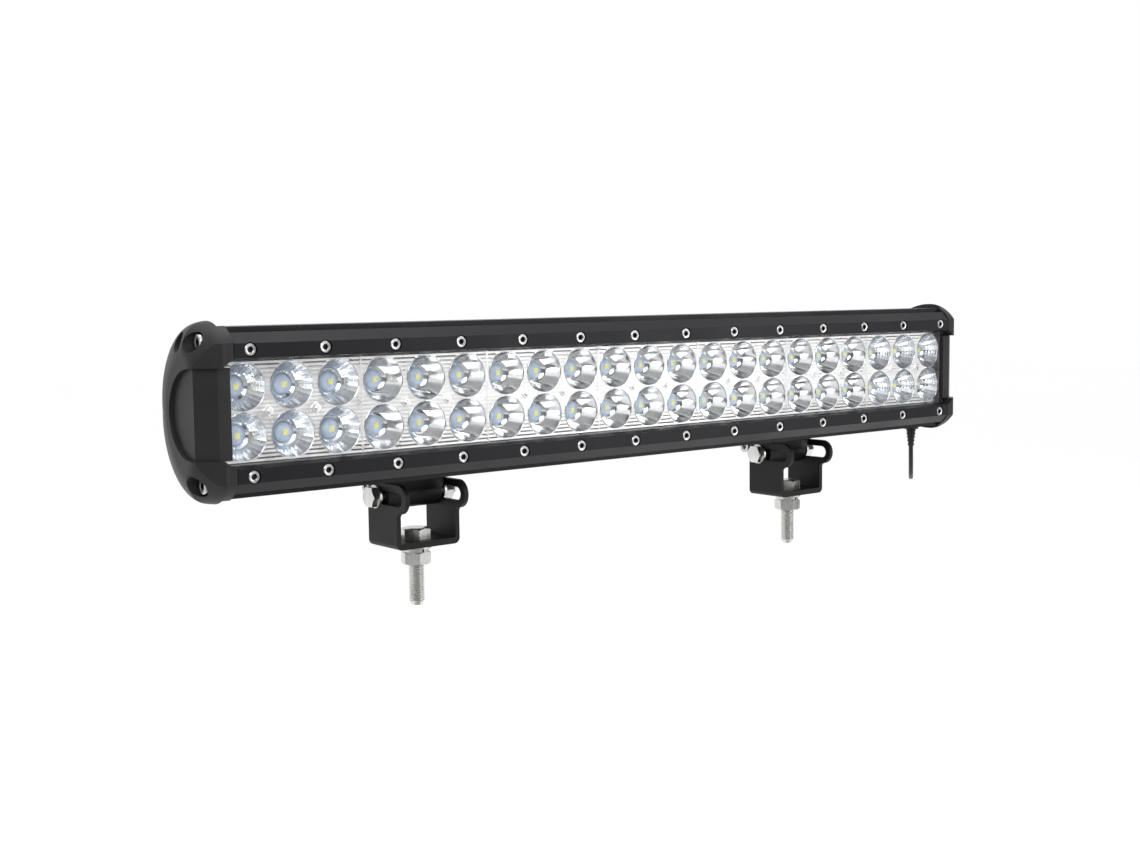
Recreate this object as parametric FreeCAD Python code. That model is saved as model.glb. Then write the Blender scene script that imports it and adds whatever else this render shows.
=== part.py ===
"""Double-row LED light bar on two tilting U-brackets.

Built about the bar's own datum: X along the bar, Y = 0 on the front bezel face and growing rearwards,
Z = 0 at the bar's mid height. put() then moves every piece into the row frame, whose origin is centred
between the two mounting studs, level with the underside of their nuts.
"""
import FreeCAD, Part
import math
import os
from FreeCAD import Vector

os.makedirs("parts", exist_ok=True)

# ---- driving dimensions, mm ------------------------------------------------------------------
MODULES = 7
MODULE_PITCH = 70.0
CUP_PITCH = MODULE_PITCH / 3
ROW_Z = 10.65
HALF_BAR = 258.0            # centre to the outside of an end cap
HALF_HOUSING = 244.7
HALF_RAIL = 241.5
CAP_INNER = 245.5           # the end gasket fills the gap to the housing
HALF_HEIGHT = 36.6          # housing
BACK_Y, BACK_R = 17.4, 38.0  # centre and radius of the housing's half-round back

RAIL_DEPTH = 8.0
WINDOW_Z = 22.9             # half height of the opening between the rails
SCREW_Z = 27.0
SCREW_PITCH = 36.0
SCREWS_PER_RAIL = 14

LENS_FRONT, LENS_BACK, LENS_Z = 6.5, 9.0, 25.0
LEDGE_Y = 10.2
CAVITY_Z = 23.5
REFLECTOR_FRONT, REFLECTOR_BACK = 9.2, 18.6
CUP_MOUTH_R, CUP_THROAT_R = 10.3, 4.7
BOARD_FRONT, BOARD_BACK = 18.7, 20.2
WEB_FRONT, WEB_BACK = 20.6, 25.0
BAY_BACK, BAY_Z = 41.0, 21.5
FIN_ROOT, FIN_GAPS, FIN_PITCH, FIN_GAP = 44.0, 7, 7.0, 4.8

BRACKET_X = 132.0           # stud to the bar's centre
STUD_Y = 33.5
PIVOT_Y, PIVOT_Z = 39.4, -47.2
SLOT_FRONT = 17.2
PIVOT_R = 3.0               # M6
SLOT_R = 3.4
PLATE = 2.4
U_HALF = 18.0
PLATE_FRONT, PLATE_REAR = 21.9, 47.2
BASE_UNDER = -71.8
STUD_R = 4.0                # M8
THREAD_CORE_R = 3.6
FLAT_WASHER, SPRING_WASHER, NUT_H = 1.5, 1.7, 6.3
STUD_TIP = -101.3
TRACK_Y, TRACK_NECK, TRACK_HEAD = 36.0, 5.6, 9.6
TRACK_LIP_TOP, TRACK_TOP = -27.6, -24.0
BARREL_R = 6.8

CAP_SCREWS = [(11.5, 30.4, 249.2), (22.5, 30.4, 249.2), (11.5, -30.4, 249.2)]  # y, z, seat
CAP_SCREW_LENGTH = 16.0
POCKET_R, POCKET_DEPTH = 19.4, 1.9  # shallow round pocket in each cap's outer face

CORD_D = 2.8
CORD_X, CORD_Y = 237.0, 24.5
COIL_R = 25.3
COIL_X, COIL_Z = 192.0, 0.0

NUT_FACE = BASE_UNDER - FLAT_WASHER - SPRING_WASHER - NUT_H
TO_ROW_FRAME = Vector(0, -STUD_Y, -NUT_FACE)

X, Y, Z = Vector(1, 0, 0), Vector(0, 1, 0), Vector(0, 0, 1)


# ---- small helpers ---------------------------------------------------------------------------
def put(name, *solids):
    """Write one node. Solids that share a node stay separate solids."""
    shape = solids[0] if len(solids) == 1 else Part.makeCompound(list(solids))
    shape = shape.copy()
    shape.translate(TO_ROW_FRAME)
    shape.exportStep("parts/" + name + ".step")


def box(x0, x1, y0, y1, z0, z1):
    return Part.makeBox(x1 - x0, y1 - y0, z1 - z0, Vector(x0, y0, z0))


def rod(r, start, axis, length):
    return Part.makeCylinder(r, length, start, axis)


def tube(r_out, r_in, start, axis, length):
    return rod(r_out, start, axis, length).cut(rod(r_in, start - axis * 1, axis, length + 2))


def prism(points, axis, start, length):
    """A polygon given as pairs in the plane across axis (Y,Z for X; X,Z for Y; X,Y for Z)."""
    place = {
        "X": lambda a, b: Vector(start, a, b),
        "Y": lambda a, b: Vector(a, start, b),
        "Z": lambda a, b: Vector(a, b, start),
    }[axis]
    corners = [place(a, b) for a, b in points]
    face = Part.Face(Part.makePolygon(corners + corners[:1]))
    return face.extrude({"X": X, "Y": Y, "Z": Z}[axis] * length)


def mirror_z(shape):
    return shape.mirror(Vector(0, 0, 0), Z)


def mirror_x(shape):
    return shape.mirror(Vector(0, 0, 0), X)


def hexagon(across_flats, start, axis, height, turn=0.0):
    """A hex prism from start along axis."""
    side = X if abs(axis.x) < 0.5 else Y
    other = axis.cross(side)
    r = across_flats / math.sqrt(3)
    angles = [math.radians(60 * k + turn) for k in range(7)]
    ring = [start + side * (r * math.cos(a)) + other * (r * math.sin(a)) for a in angles]
    return Part.Face(Part.makePolygon(ring)).extrude(axis * height)


def socket_screw(head_under, axis, head_r, head_h, key, shank_r, shank_length):
    """A cap screw: axis points out of the head, head_under is the centre of the seat."""
    head = rod(head_r, head_under, axis, head_h)
    socket = hexagon(key, head_under + axis * (head_h * 0.35), axis, head_h)
    shank = rod(shank_r, head_under - axis * shank_length, axis, shank_length)
    return head.cut(socket).fuse(shank)


def screw_row():
    return [SCREW_PITCH * (k - (SCREWS_PER_RAIL - 1) / 2) for k in range(SCREWS_PER_RAIL)]


def module_centres():
    return [MODULE_PITCH * (k - (MODULES - 1) / 2) for k in range(MODULES)]


def cup_centres(cx):
    return [(cx + CUP_PITCH * col, ROW_Z * row) for row in (1, -1) for col in (-1, 0, 1)]


# ---- the bar's aluminium extrusion -----------------------------------------------------------
def bar_profile(start, length, front, shrink=0.0):
    """The bar's D-shaped section: flat above and below, a half-round back."""
    round_back = rod(BACK_R - shrink, Vector(start, BACK_Y, 0), X, length)
    return round_back.common(box(start, start + length, front, 90,
                                 -HALF_HEIGHT + shrink, HALF_HEIGHT - shrink))


def housing():
    body = bar_profile(-HALF_HOUSING, 2 * HALF_HOUSING, RAIL_DEPTH)
    cuts = [
        box(-300, 300, 0, LEDGE_Y, -LENS_Z - 0.3, LENS_Z + 0.3),
        box(-300, 300, 0, WEB_FRONT, -CAVITY_Z, CAVITY_Z),
        box(-300, 300, WEB_BACK, BAY_BACK, -BAY_Z, BAY_Z),
    ]
    for k in range(FIN_GAPS):
        z = FIN_PITCH * (k - (FIN_GAPS - 1) / 2)
        cuts.append(box(-300, 300, FIN_ROOT, 70, z - FIN_GAP / 2, z + FIN_GAP / 2))
    cuts.append(box(-300, 300, TRACK_Y - TRACK_NECK / 2, TRACK_Y + TRACK_NECK / 2,
                    -HALF_HEIGHT, TRACK_LIP_TOP + 0.1))
    cuts.append(box(-300, 300, TRACK_Y - TRACK_HEAD / 2, TRACK_Y + TRACK_HEAD / 2,
                    TRACK_LIP_TOP, TRACK_TOP))
    for side in (1, -1):
        for x in screw_row():
            cuts.append(rod(1.5, Vector(x, 0, side * SCREW_Z), Y, 19))
    for y, z, seat in CAP_SCREWS:
        reach = seat - CAP_SCREW_LENGTH - 0.3
        for end in (1, -1):
            cuts.append(rod(2.05, Vector(end * 300, y, z), X * -end, 300 - reach))
    cuts.append(rod(4.0, Vector(CORD_X, CORD_Y, -HALF_HEIGHT - 1), Z, HALF_HEIGHT + 1 - BAY_Z + 0.5))
    return body.cut(Part.makeCompound(cuts))


def rail():
    """Upper bezel rail: a flat face, a chamfer above it, and a lip over the edge of the lens."""
    profile = [(0, WINDOW_Z + 0.5), (0, 29.7), (4.3, 34.2), (RAIL_DEPTH - 0.1, 34.2),
               (RAIL_DEPTH - 0.1, LENS_Z + 0.3), (LENS_FRONT - 0.1, LENS_Z + 0.3),
               (LENS_FRONT - 0.1, WINDOW_Z - 0.6), (3.4, WINDOW_Z - 0.6)]
    body = prism(profile, "X", -HALF_RAIL, 2 * HALF_RAIL)
    holes = []
    for x in screw_row():
        holes.append(rod(3.1, Vector(x, -1, SCREW_Z), Y, 3.6))
        holes.append(rod(1.7, Vector(x, -1, SCREW_Z), Y, 12))
    return body.cut(Part.makeCompound(holes))


def rail_screws(side):
    return [socket_screw(Vector(x, 2.6, side * SCREW_Z), Y * -1, 2.7, 2.5, 2.5, 1.5, 14)
            for x in screw_row()]


# ---- optics and electronics ------------------------------------------------------------------
def lens():
    return box(-CAP_INNER + 0.3, CAP_INNER - 0.3, LENS_FRONT, LENS_BACK, -LENS_Z, LENS_Z)


def lens_gasket():
    outer = box(-HALF_HOUSING, HALF_HOUSING, LENS_BACK, LEDGE_Y, -LENS_Z - 0.1, LENS_Z + 0.1)
    return outer.cut(box(-300, 300, 0, 20, -CAVITY_Z - 0.2, CAVITY_Z + 0.2))


def cup(x, z):
    """The parabolic hollow around one diode, open at both ends."""
    depth = REFLECTOR_BACK - REFLECTOR_FRONT + 0.4
    steps = 5
    points = []
    for k in range(steps + 1):
        t = k / steps
        radius = CUP_THROAT_R + (CUP_MOUTH_R - CUP_THROAT_R) * math.sqrt(t)
        points.append(Vector(radius, REFLECTOR_BACK + 0.2 - depth * t, 0))
    line = Part.makePolygon([Vector(0, points[0].y, 0)] + points + [Vector(0, points[-1].y, 0),
                                                                     Vector(0, points[0].y, 0)])
    solid = Part.Face(line).revolve(Vector(0, 0, 0), Y, 360)
    solid.translate(Vector(x, 0, z))
    return solid


def reflector(cx):
    half = (MODULE_PITCH - 0.2) / 2
    body = box(cx - half, cx + half, REFLECTOR_FRONT, REFLECTOR_BACK, -CAVITY_Z + 0.1, CAVITY_Z - 0.1)
    body = body.cut(Part.makeCompound([cup(x, z) for x, z in cup_centres(cx)]))
    return body


def led_board(cx):
    half = (MODULE_PITCH - 0.4) / 2
    return box(cx - half, cx + half, BOARD_FRONT, BOARD_BACK, -CAVITY_Z + 0.3, CAVITY_Z - 0.3)


def diode_places():
    return [place for cx in module_centres() for place in cup_centres(cx)]


def diode_bases():
    return [box(x - 2.6, x + 2.6, BOARD_FRONT - 0.9, BOARD_FRONT, z - 2.6, z + 2.6)
            for x, z in diode_places()]


def diode_domes():
    domes = []
    for x, z in diode_places():
        centre = Vector(x, BOARD_FRONT - 0.9, z)
        ball = Part.makeSphere(2.4, centre)
        domes.append(ball.common(rod(3, centre, Y * -1, 3)))
    return domes


def thermal_pads():
    return box(-HALF_HOUSING + 1, HALF_HOUSING - 1, BOARD_BACK, WEB_FRONT, -CAVITY_Z + 1, CAVITY_Z - 1)


def driver_board():
    return box(-90, 90, WEB_BACK + 3, WEB_BACK + 4.6, -18, 18)


def driver_standoffs():
    return [rod(2.5, Vector(x, WEB_BACK, z), Y, 3) for x in (-84, 84) for z in (-13, 13)]


def driver_inductors():
    top = WEB_BACK + 4.6
    return [tube(7, 3, Vector(x, top, 4), Y, 6.5) for x in (-60, -20, 20, 60)]


def driver_capacitors():
    top = WEB_BACK + 4.6
    return [rod(4, Vector(x, top, -9), Y, 9.5) for x in (-70, -46, -30, 10, 34, 50)]


def driver_chips():
    top = WEB_BACK + 4.6
    return [box(x - 3, x + 3, top, top + 1.7, -12, -6) for x in (-60, -16, 22, 66)]


# ---- end caps --------------------------------------------------------------------------------
def cap_outline(x, front, corner_z, bend, crown, hip, rear):
    """One cross-section of the cap: flat front, bulging top and bottom, half-round back."""
    top = [(front, corner_z), bend, crown, hip]
    up = [Vector(x, y, z) for y, z in top]
    down = [Vector(x, y, -z) for y, z in top]
    back = Vector(x, rear, 0)
    return Part.Wire([
        Part.LineSegment(down[0], up[0]).toShape(),
        Part.Arc(up[0], up[1], up[2]).toShape(),
        Part.Arc(up[2], up[3], back).toShape(),
        Part.Arc(back, down[3], down[2]).toShape(),
        Part.Arc(down[2], down[1], down[0]).toShape(),
    ])


CAP_STATIONS = [
    (CAP_INNER, 0.0, 30.0, (6.0, 36.0), (17.0, 39.2), (45.3, 28.0), 57.0),
    (250.0, 1.0, 27.6, (6.6, 33.8), (16.5, 38.4), (42.6, 26.8), 52.8),
    (254.0, 4.2, 23.2, (8.8, 30.4), (16.0, 36.0), (36.4, 25.8), 45.4),
    (257.0, 6.8, 19.8, (10.6, 26.0), (16.0, 31.0), (30.0, 22.0), 37.5),
    (HALF_BAR, 9.5, 16.0, (12.0, 21.0), (15.5, 25.0), (25.5, 18.0), 32.0),
]
LOBE_EDGE = 247.1
LOBE_Z = 19.6


def end_cap():
    """The right-hand cap: a domed casting with two front lobes and a recessed middle."""
    dome = Part.makeLoft([cap_outline(*station) for station in CAP_STATIONS], True, False)
    lip_start = HALF_RAIL + 0.3
    rim = Part.Face(cap_outline(lip_start, *CAP_STATIONS[0][1:])).extrude(X * (CAP_INNER - lip_start))
    lip = rim.common(box(200, CAP_INNER + 1, -1, RAIL_DEPTH - 0.1, -50, 50))
    lip = lip.cut(box(200, CAP_INNER, LENS_FRONT - 0.1, 20, -LENS_Z - 0.3, LENS_Z + 0.3))
    cap = dome.fuse(lip)
    end_x, end_y = HALF_BAR - 0.6, 10.5
    slope = [(LOBE_EDGE, 0), (end_x, 7.6), (end_x + 6, 7.6), (end_x + 6, -2), (LOBE_EDGE, -2)]
    cap = cap.cut(prism(slope, "Z", -31, 62))
    recess = [(230, -2), (230, 4), (LOBE_EDGE + 0.5, 4), (end_x, end_y), (end_x + 9, end_y + 6),
              (end_x + 9, -2)]
    cap = cap.cut(prism(recess, "Z", -LOBE_Z, 2 * LOBE_Z))
    for side in (1, -1):
        bevel = [(230, side * (LOBE_Z - 0.1)), (230, side * (LOBE_Z + 3)),
                 (HALF_RAIL + 1.5, side * (LOBE_Z + 3)), (LOBE_EDGE, side * (LOBE_Z - 0.1))]
        cap = cap.cut(prism(bevel, "Y", -2, RAIL_DEPTH + 3))
    cap = cap.cut(rod(POCKET_R, Vector(HALF_BAR - POCKET_DEPTH, end_y, 0), X, 10))
    for y, z, seat in CAP_SCREWS:
        cap = cap.cut(rod(2.2, Vector(240, y, z), X, 20))
        cap = cap.cut(rod(4.4, Vector(seat, y, z), X, 20))
    return cap


def end_gasket():
    outer = bar_profile(HALF_HOUSING, CAP_INNER - HALF_HOUSING, 9.5, 1.0)
    holes = [box(200, 300, 0, WEB_FRONT, -CAVITY_Z - 1, CAVITY_Z + 1),
             box(200, 300, WEB_BACK, BAY_BACK, -BAY_Z, BAY_Z)]
    for y, z, _ in CAP_SCREWS:
        holes.append(rod(2.2, Vector(200, y, z), X, 60))
    return outer.cut(Part.makeCompound(holes))


def cap_screws():
    return [socket_screw(Vector(seat, y, z), X, 3.5, 3.6, 3.0, 2.0, CAP_SCREW_LENGTH)
            for y, z, seat in CAP_SCREWS]


# ---- power lead ------------------------------------------------------------------------------
GLAND_TOP = -HALF_HEIGHT
GLAND_H = 3.0
RELIEF_H = 11.0
CORD_START_Z = GLAND_TOP - GLAND_H - RELIEF_H


def cable_gland():
    """Collar screwed into the underside of the housing, round the lead."""
    collar = rod(4.4, Vector(CORD_X, CORD_Y, GLAND_TOP), Z * -1, GLAND_H)
    neck = rod(3.95, Vector(CORD_X, CORD_Y, GLAND_TOP), Z, 12)
    return collar.fuse(neck).cut(rod(CORD_D / 2 + 0.4, Vector(CORD_X, CORD_Y, GLAND_TOP - 9), Z, 40))


def strain_relief():
    start = Vector(CORD_X, CORD_Y, GLAND_TOP - GLAND_H)
    return Part.makeCone(2.9, CORD_D / 2 + 0.3, RELIEF_H, start, Z * -1)


COIL_Y = BACK_Y + BACK_R + 0.4 + CORD_D / 2
CORD_ROUTE = [
    (CORD_X, CORD_Y, CORD_START_Z),
    (237.4, 24.6, -63.6),
    (244.8, 30.4, -73.0),
    (264.5, 45.8, -73.0),
    (271.9, 51.6, -63.6),
    (274.0, 53.5, -47.0),
    (270.5, 56.5, -29.5),
    (259.5, 60.4, -18.0),
    (244.0, 61.6, -14.5),
    (227.0, 60.6, -17.5),
    (210.0, 59.0, -22.8),
    (COIL_X, COIL_Y, COIL_Z - COIL_R),
]


def rounded_path(points):
    """Straight runs joined by tangent arcs, each arc as large as its two runs allow."""
    route = [Vector(*p) for p in points]
    edges, at, radii = [], route[0], []
    for before, corner, after in zip(route, route[1:], route[2:]):
        into, out = (corner - before), (after - corner)
        turn = into.getAngle(out)
        trim = 0.45 * min(into.Length, out.Length)
        radii.append(trim / math.tan(turn / 2))
        into.normalize()
        out.normalize()
        start, end = corner - into * trim, corner + out * trim
        bow = (start + end) * 0.5 - corner
        gap = bow.Length
        centre_off = math.hypot(radii[-1], trim)
        mid = corner + bow * ((centre_off - radii[-1]) / gap)
        edges.append(Part.LineSegment(at, start).toShape())
        edges.append(Part.Arc(start, mid, end).toShape())
        at = end
    edges.append(Part.LineSegment(at, route[-1]).toShape())
    return Part.Wire(edges), radii


def cord_tube():
    wire, radii = rounded_path(CORD_ROUTE)
    first = wire.Edges[0]
    direction = first.tangentAt(first.FirstParameter)
    section = Part.Wire(Part.makeCircle(CORD_D / 2, Vector(*CORD_ROUTE[0]), direction))
    solid = wire.makePipeShell([section], True, False)
    print("cord radii", [round(r, 1) for r in radii], "length", round(wire.Length, 1))
    print("cord volume share", round(solid.Volume / (math.pi * CORD_D ** 2 / 4 * wire.Length), 4))
    return solid


COIL_LAYERS = 2


def cord_coil():
    depth = CORD_D * COIL_LAYERS + 0.3
    return tube(COIL_R + CORD_D / 2 + 0.2, COIL_R - CORD_D / 2 - 0.2,
                Vector(COIL_X, COIL_Y - CORD_D / 2, COIL_Z), Y, depth)


PLUG_X = COIL_X + 26
PLUG_Z = COIL_Z + COIL_R
PLUG_Y = COIL_Y + CORD_D


def cord_tail():
    return rod(CORD_D / 2, Vector(COIL_X, PLUG_Y, PLUG_Z), X, PLUG_X - COIL_X)


def plug_body():
    """Sealed two-way connector on the end of the lead."""
    back = rod(4.6, Vector(PLUG_X, PLUG_Y, PLUG_Z), X, 8)
    front = box(PLUG_X + 8, PLUG_X + 30, PLUG_Y - 5.6, PLUG_Y + 5.6, PLUG_Z - 7, PLUG_Z + 7)
    well = box(PLUG_X + 16, PLUG_X + 31, PLUG_Y - 4.2, PLUG_Y + 4.2, PLUG_Z - 5.6, PLUG_Z + 5.6)
    return front.cut(well).fuse(back)


def plug_pins():
    return [rod(1.0, Vector(PLUG_X + 16, PLUG_Y, PLUG_Z + z), X, 11) for z in (-2.6, 2.6)]


def coil_tie():
    """Strap round both turns at the left of the coil, seated in the gap between two fins."""
    y0, y1 = COIL_Y - CORD_D / 2 - 0.1, COIL_Y + CORD_D * 1.5 + 0.5
    strap = box(-4.2, 4.2, y0 - 1.2, y1 + 1.2, -2.2, 2.2)
    strap = strap.cut(box(-3.0, 3.0, y0, y1, -4, 4))
    strap.translate(Vector(COIL_X - COIL_R, 0, COIL_Z))
    return strap


# ---- feet and brackets -----------------------------------------------------------------------
def foot(cx):
    """Sliding foot: a T-head in the bar's track, a saddle round its back and the pivot barrel."""
    half = 15.2
    head = box(cx - half + 2, cx + half - 2, TRACK_Y - TRACK_HEAD / 2 + 0.4, TRACK_Y + TRACK_HEAD / 2 - 0.4,
               TRACK_LIP_TOP + 0.3, TRACK_TOP - 0.4)
    neck = box(cx - half + 2, cx + half - 2, TRACK_Y - TRACK_NECK / 2 + 0.3, TRACK_Y + TRACK_NECK / 2 - 0.3,
               -HALF_HEIGHT - 1, TRACK_LIP_TOP + 0.4)
    profile = [(29, -HALF_HEIGHT - 0.5), (29, -40.2), (34, PIVOT_Z), (45, PIVOT_Z), (57, -41.2),
               (57, -37.5), (51.5, -28.5), (47.5, -25), (40, -25), (29, -30)]
    saddle = prism(profile, "X", cx - half, 2 * half)
    saddle = saddle.cut(rod(BACK_R + 0.5, Vector(cx - 40, BACK_Y, 0), X, 80))
    saddle = saddle.cut(box(cx - 40, cx + 40, 0, 31, -HALF_HEIGHT - 0.4, 0))
    barrel = rod(BARREL_R, Vector(cx - half, PIVOT_Y, PIVOT_Z), X, 2 * half)
    lug = rod(3.6, Vector(cx - LUG_HALF, LOCK_Y, LOCK_Z), X, 2 * LUG_HALF)
    lug = lug.fuse(box(cx - LUG_HALF, cx + LUG_HALF, LOCK_Y - 3.6, LOCK_Y + 2, LOCK_Z, -39))
    body = head.fuse([neck, saddle, barrel, lug])
    for start in (cx - LUG_HALF - 10, cx + LUG_HALF):
        body = body.cut(rod(4.0, Vector(start, LOCK_Y, LOCK_Z), X, 10))
    body = body.cut(rod(PIVOT_R + 0.05, Vector(cx - 40, PIVOT_Y, PIVOT_Z), X, 80))
    return body.cut(rod(1.95, Vector(cx - 40, LOCK_Y, LOCK_Z), X, 80))


LOCK_Y, LOCK_Z = 55.0, -44.4
LUG_HALF = 11.0


def foot_lock_screw(cx):
    """Clamps the split rear edge of the foot; its head faces the same way as the pivot bolt's."""
    seat = Vector(cx - LUG_HALF, LOCK_Y, LOCK_Z)
    screw = socket_screw(seat, X * -1, 3.3, 3.6, 3.0, 1.9, 2 * LUG_HALF + 2.5)
    nut = hexagon(6.4, Vector(cx + LUG_HALF, LOCK_Y, LOCK_Z), X, 2.4, 0)
    return screw, nut.cut(rod(1.9, Vector(cx, LOCK_Y, LOCK_Z), X, 40))


def bracket(cx):
    """U-bracket: two slotted ears on a base with one bolt hole, bent from flat strip."""
    r_lobe = SLOT_R + 3.5
    top = PIVOT_Z + r_lobe
    outline = prism([(PLATE_FRONT, BASE_UNDER), (PLATE_REAR, BASE_UNDER), (PLATE_REAR, PIVOT_Z),
                     (PLATE_FRONT, PIVOT_Z)], "X", cx - U_HALF, 2 * U_HALF)
    front_y = SLOT_FRONT + SLOT_R
    rear_y = PLATE_REAR - r_lobe
    ears = rod(r_lobe, Vector(cx - U_HALF, front_y, PIVOT_Z), X, 2 * U_HALF)
    ears = ears.fuse(rod(r_lobe, Vector(cx - U_HALF, rear_y, PIVOT_Z), X, 2 * U_HALF))
    ears = ears.fuse(box(cx - U_HALF, cx + U_HALF, front_y, rear_y, PIVOT_Z - 2, top))
    solid = outline.fuse(ears).removeSplitter()
    neck_edges = [e for e in solid.Edges
                  if abs(e.BoundBox.YMin - PLATE_FRONT) < 0.01 and e.BoundBox.YLength < 0.01
                  and e.BoundBox.ZLength < 0.01 and e.BoundBox.ZMin > BASE_UNDER + 5 and e.Length > 20]
    solid = solid.makeFillet(2.4, neck_edges)
    inner = box(cx - U_HALF + PLATE, cx + U_HALF - PLATE, 0, 80, BASE_UNDER + PLATE + 0.6, 0)
    solid = solid.cut(inner)
    long_edges = [e for e in solid.Edges
                  if abs(e.BoundBox.ZMin - BASE_UNDER) < 0.01 and e.BoundBox.ZLength < 0.01
                  and e.BoundBox.XLength < 0.01 and e.Length > 20]
    solid = solid.makeFillet(3.0, long_edges)
    slot = prism([(front_y, PIVOT_Z - SLOT_R), (PIVOT_Y, PIVOT_Z - SLOT_R), (PIVOT_Y, PIVOT_Z + SLOT_R),
                  (front_y, PIVOT_Z + SLOT_R)], "X", cx - 30, 60)
    slot = slot.fuse([rod(SLOT_R, Vector(cx - 30, y, PIVOT_Z), X, 60) for y in (front_y, PIVOT_Y)])
    hole = rod(STUD_R + 0.3, Vector(cx, STUD_Y, BASE_UNDER - 1), Z, 8)
    return solid.cut(slot).cut(hole)


WASHER = 1.2
PIVOT_HEX = 9.4


def pivot_bolt(cx):
    seat = Vector(cx - U_HALF - WASHER - 0.1, PIVOT_Y, PIVOT_Z)
    return hexagon(PIVOT_HEX, seat, X * -1, 3.5, 0).fuse(rod(PIVOT_R, seat, X, 2 * U_HALF + 11))


def pivot_washers(cx):
    return [tube(5.6, PIVOT_R + 0.2, Vector(x, PIVOT_Y, PIVOT_Z), X, WASHER)
            for x in (cx - U_HALF - WASHER - 0.1, cx + U_HALF + 0.1)]


def pivot_nut(cx):
    start = Vector(cx + U_HALF + WASHER + 0.1, PIVOT_Y, PIVOT_Z)
    return hexagon(PIVOT_HEX, start, X, 5.0, 0).cut(rod(PIVOT_R, start - X, X, 9))


def mounting_bolt(cx):
    """Hex bolt dropped through the base: full thread radius only on its free end."""
    seat = Vector(cx, STUD_Y, BASE_UNDER + PLATE + 0.6)
    head = hexagon(13, seat, Z, 5.3, 12)
    core = rod(THREAD_CORE_R, Vector(cx, STUD_Y, NUT_FACE), Z, seat.z - NUT_FACE)
    tip = 1.0
    free = rod(STUD_R, Vector(cx, STUD_Y, STUD_TIP + tip), Z, NUT_FACE - STUD_TIP - tip)
    end = Part.makeCone(STUD_R, STUD_R - 1.1, tip, Vector(cx, STUD_Y, STUD_TIP + tip), Z * -1)
    return head.fuse([core, free, end])


def flat_washer(cx):
    return tube(8.0, STUD_R + 0.2, Vector(cx, STUD_Y, BASE_UNDER), Z * -1, FLAT_WASHER)


def spring_washer(cx):
    start = Vector(cx, STUD_Y, BASE_UNDER - FLAT_WASHER)
    ring = tube(6.6, STUD_R + 0.2, start, Z * -1, SPRING_WASHER)
    return ring.cut(box(cx - 0.5, cx + 0.5, STUD_Y - 9, STUD_Y - 2, start.z - 5, start.z + 1))


def mounting_nut(cx):
    start = Vector(cx, STUD_Y, NUT_FACE)
    return hexagon(13, start, Z, NUT_H, 12).cut(rod(THREAD_CORE_R, start - Z, Z, 20))


# ---- write every node ------------------------------------------------------------------------
def main():
    put("housing", housing())
    top = rail()
    put("bezel_rail_top", top)
    put("bezel_rail_bottom", mirror_z(top))
    put("bezel_screws_top", *rail_screws(1))
    put("bezel_screws_bottom", *rail_screws(-1))
    put("lens", lens())
    put("lens_gasket", lens_gasket())
    for number, cx in enumerate(module_centres(), 1):
        kind = "flood" if number in (1, MODULES) else "spot"
        put(f"reflector_{number}_{kind}", reflector(cx))
        put(f"led_board_{number}", led_board(cx))
    put("led_packages", *diode_bases())
    put("led_domes", *diode_domes())
    put("thermal_pad", thermal_pads())
    put("driver_board", driver_board())
    put("driver_standoffs", *driver_standoffs())
    put("driver_inductors", *driver_inductors())
    put("driver_capacitors", *driver_capacitors())
    put("driver_chips", *driver_chips())
    for side, turn in (("right", lambda s: s), ("left", mirror_x)):
        put("end_cap_" + side, turn(end_cap()))
        put("end_gasket_" + side, turn(end_gasket()))
        put("end_cap_screws_" + side, *[turn(s) for s in cap_screws()])
    put("cable_gland", cable_gland())
    put("strain_relief", strain_relief())
    put("power_cord", cord_tube())
    put("power_cord_coil", cord_coil())
    put("power_cord_tail", cord_tail())
    put("cord_tie", coil_tie())
    put("plug_body", plug_body())
    put("plug_pins", *plug_pins())
    for side, cx in (("left", -BRACKET_X), ("right", BRACKET_X)):
        put("foot_" + side, foot(cx))
        put("foot_lock_screw_" + side, *foot_lock_screw(cx))
        put("bracket_" + side, bracket(cx))
        put("pivot_bolt_" + side, pivot_bolt(cx))
    both = (-BRACKET_X, BRACKET_X)
    put("pivot_washers", *[w for cx in both for w in pivot_washers(cx)])
    put("pivot_nuts", *[pivot_nut(cx) for cx in both])
    put("mounting_bolts", *[mounting_bolt(cx) for cx in both])
    put("flat_washers", *[flat_washer(cx) for cx in both])
    put("spring_washers", *[spring_washer(cx) for cx in both])
    put("mounting_nuts", *[mounting_nut(cx) for cx in both])


main()
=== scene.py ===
"""LED light bar: looks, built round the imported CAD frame. All lengths are in metres."""
import math

import bmesh
import bpy
from mathutils import Matrix, Vector


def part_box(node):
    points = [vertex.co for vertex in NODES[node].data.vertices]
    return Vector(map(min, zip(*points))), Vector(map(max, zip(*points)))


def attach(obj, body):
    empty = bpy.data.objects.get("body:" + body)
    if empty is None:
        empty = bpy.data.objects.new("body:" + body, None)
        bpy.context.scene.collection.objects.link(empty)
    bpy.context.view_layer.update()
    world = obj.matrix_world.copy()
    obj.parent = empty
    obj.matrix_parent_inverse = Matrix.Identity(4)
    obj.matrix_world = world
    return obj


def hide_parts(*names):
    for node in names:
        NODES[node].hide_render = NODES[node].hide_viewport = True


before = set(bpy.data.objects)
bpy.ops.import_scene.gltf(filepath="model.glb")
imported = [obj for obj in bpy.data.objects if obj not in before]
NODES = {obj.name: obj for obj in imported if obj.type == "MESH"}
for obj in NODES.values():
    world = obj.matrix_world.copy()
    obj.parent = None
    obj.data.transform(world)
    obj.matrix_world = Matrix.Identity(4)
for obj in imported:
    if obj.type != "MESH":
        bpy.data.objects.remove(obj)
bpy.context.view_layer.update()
MM = 0.001

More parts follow.
